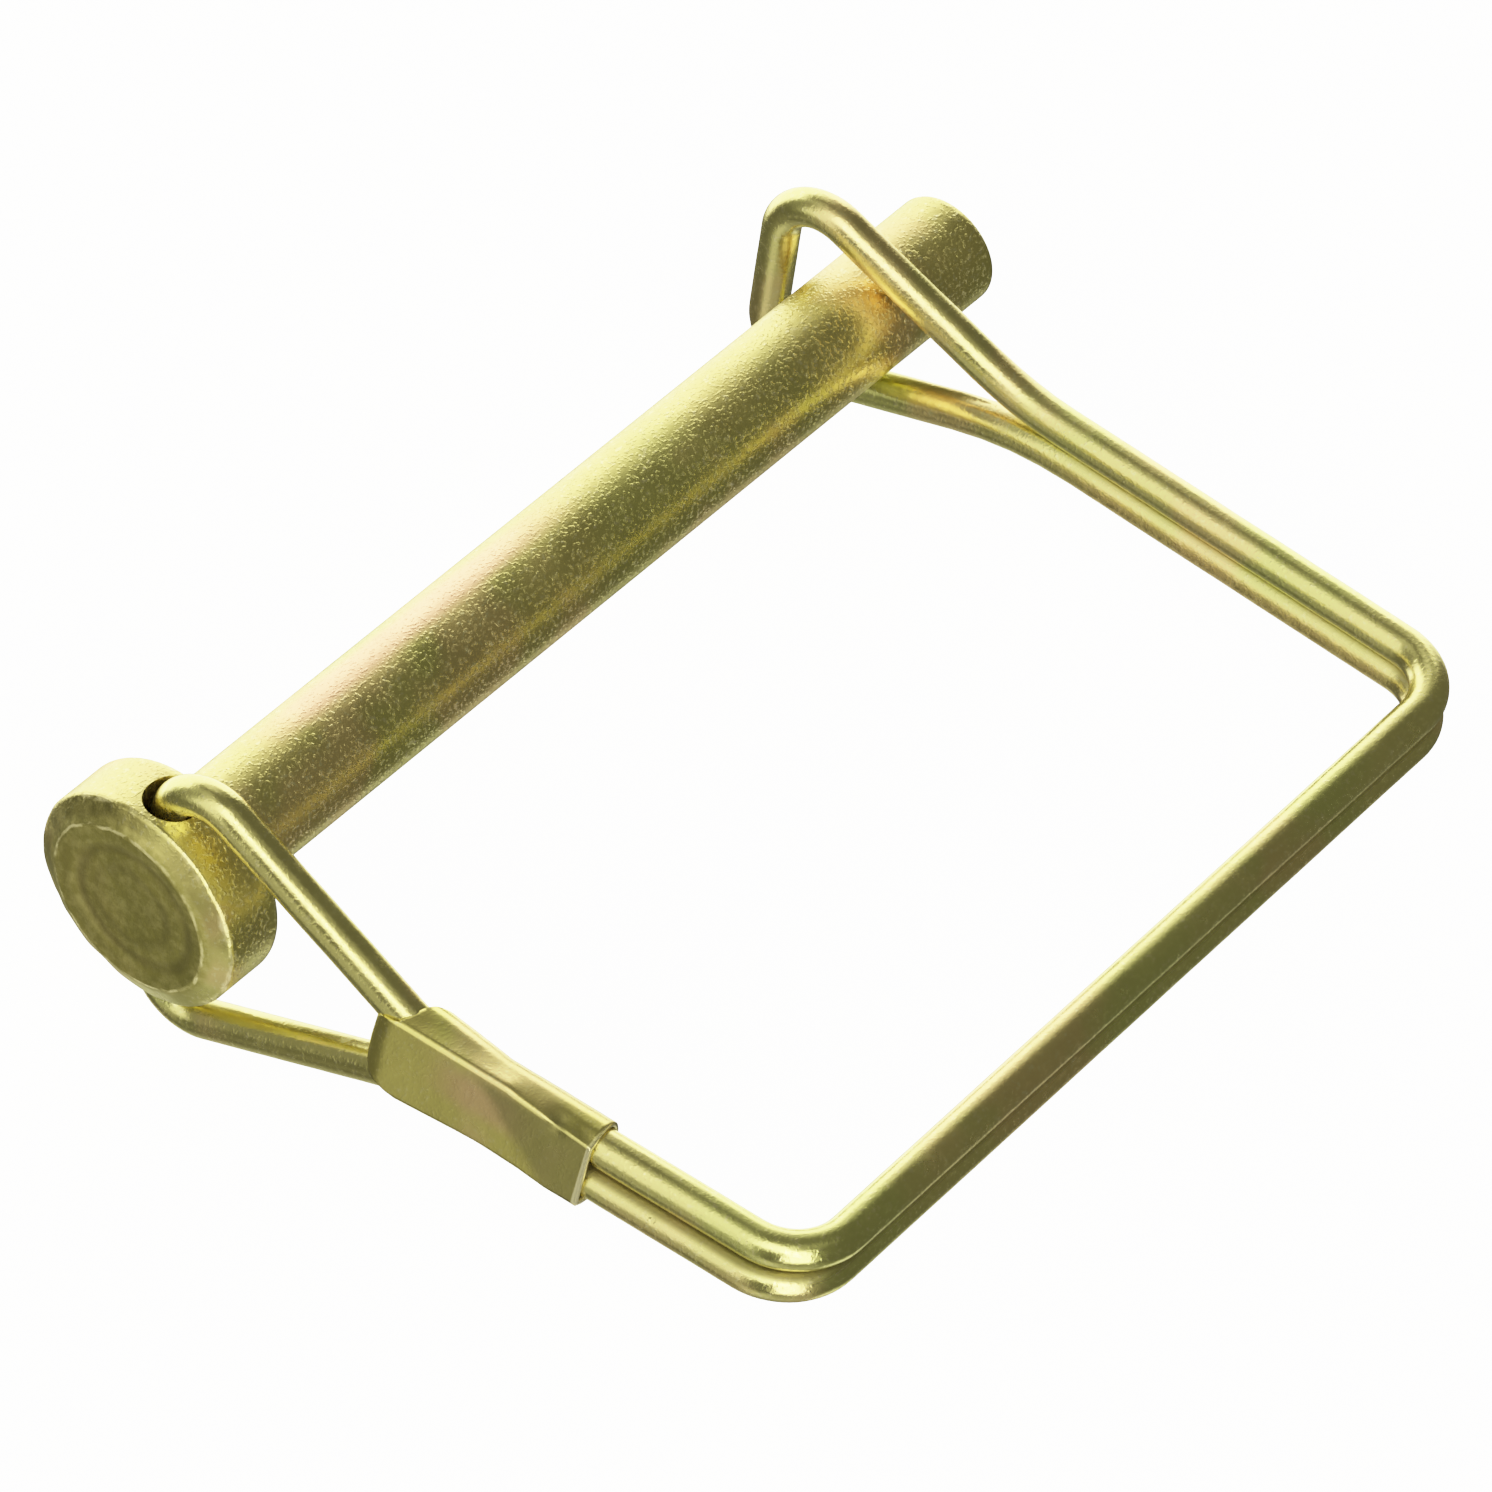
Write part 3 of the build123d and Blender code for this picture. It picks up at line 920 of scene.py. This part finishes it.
def add_floor():
    """A wide pale floor under the object. Reflections pass it by, so the metal shows the studio around."""
    mesh = bpy.data.meshes.new("floor")
    work = bmesh.new()
    bmesh.ops.create_circle(work, cap_ends=True, segments=96, radius=FLOOR_RADIUS * MM)
    work.to_mesh(mesh)
    work.free()
    floor = bpy.data.objects.new("floor", mesh)
    floor.location.z = cad_box[0][2]
    material = bpy.data.materials.new("floor")
    material.use_nodes = True
    shader = material.node_tree.nodes["Principled BSDF"]
    shader.inputs["Base Color"].default_value = FLOOR_COLOUR
    shader.inputs["Roughness"].default_value = FLOOR_ROUGHNESS
    shader.inputs["Emission Color"].default_value = FLOOR_GLOW
    shader.inputs["Emission Strength"].default_value = FLOOR_GLOW_STRENGTH
    floor.data.materials.append(material)
    floor.visible_glossy = False
    bpy.context.scene.collection.objects.link(floor)


def add_studio():
    """Soft light from all around: a dim surround, and windows of brightness by azimuth and elevation."""
    world = bpy.data.worlds.new("studio")
    world.use_nodes = True
    bpy.context.scene.world = world
    nodes = Nodes(world.node_tree)
    x, y, z = nodes.xyz(nodes.add("ShaderNodeTexCoord").outputs["Generated"])
    azimuth = nodes.math("ARCTAN2", y, x)
    elevation = nodes.math("ARCSINE", z)
    light = SURROUND
    for centre, width, soft, height_centre, height, height_soft, strength in WINDOWS:
        turn = nodes.math("SUBTRACT", azimuth, math.radians(centre))
        turn = nodes.add("ShaderNodeMath", {0: turn, 1: math.pi, 2: -math.pi}, operation="WRAP").outputs[0]
        across = nodes.band(turn, 0, width - soft, width + soft, unit=DEGREE)
        full, end = height - height_soft, height + height_soft
        along = nodes.band(elevation, height_centre, full, end, unit=DEGREE)
        light = nodes.plus(light, nodes.times(across, along, strength))
    background = nodes.add("ShaderNodeBackground", {"Color": LIGHT_TINT, "Strength": light})
    nodes.add("ShaderNodeOutputWorld", {"Surface": background.outputs[0]})


def set_exposure():
    """A soft film-like shoulder, so that highlights pale before they clip."""
    view = bpy.context.scene.view_settings
    view.view_transform = "Standard"
    view.use_curve_mapping = True
    mapping = view.curve_mapping
    mapping.white_level = (BRIGHTEST, BRIGHTEST, BRIGHTEST)
    curve = mapping.curves[3]
    for level in CURVE_LEVELS:
        curve.points.new(level / BRIGHTEST, 1 - math.exp(-level))
    mapping.update()


add_camera()
add_floor()
add_studio()

pin = make_pin()
wire = make_wire()
ferrule = make_ferrule()
pin.data.materials.append(
    plated("pin_plating", PIN_TINTS, roughness=0.31, fleck=1.1, grain=0.7, marks=pin_marks)
)
wire.data.materials.append(
    plated("wire_plating", WIRE_TINTS, roughness=0.215, fleck=0.28, grain=0.5, marks=wire_marks)
)
ferrule.data.materials.append(
    plated("ferrule_plating", SHEET_TINTS, roughness=0.24, fleck=0.15, grain=0.35, marks=ferrule_marks)
)

set_exposure()
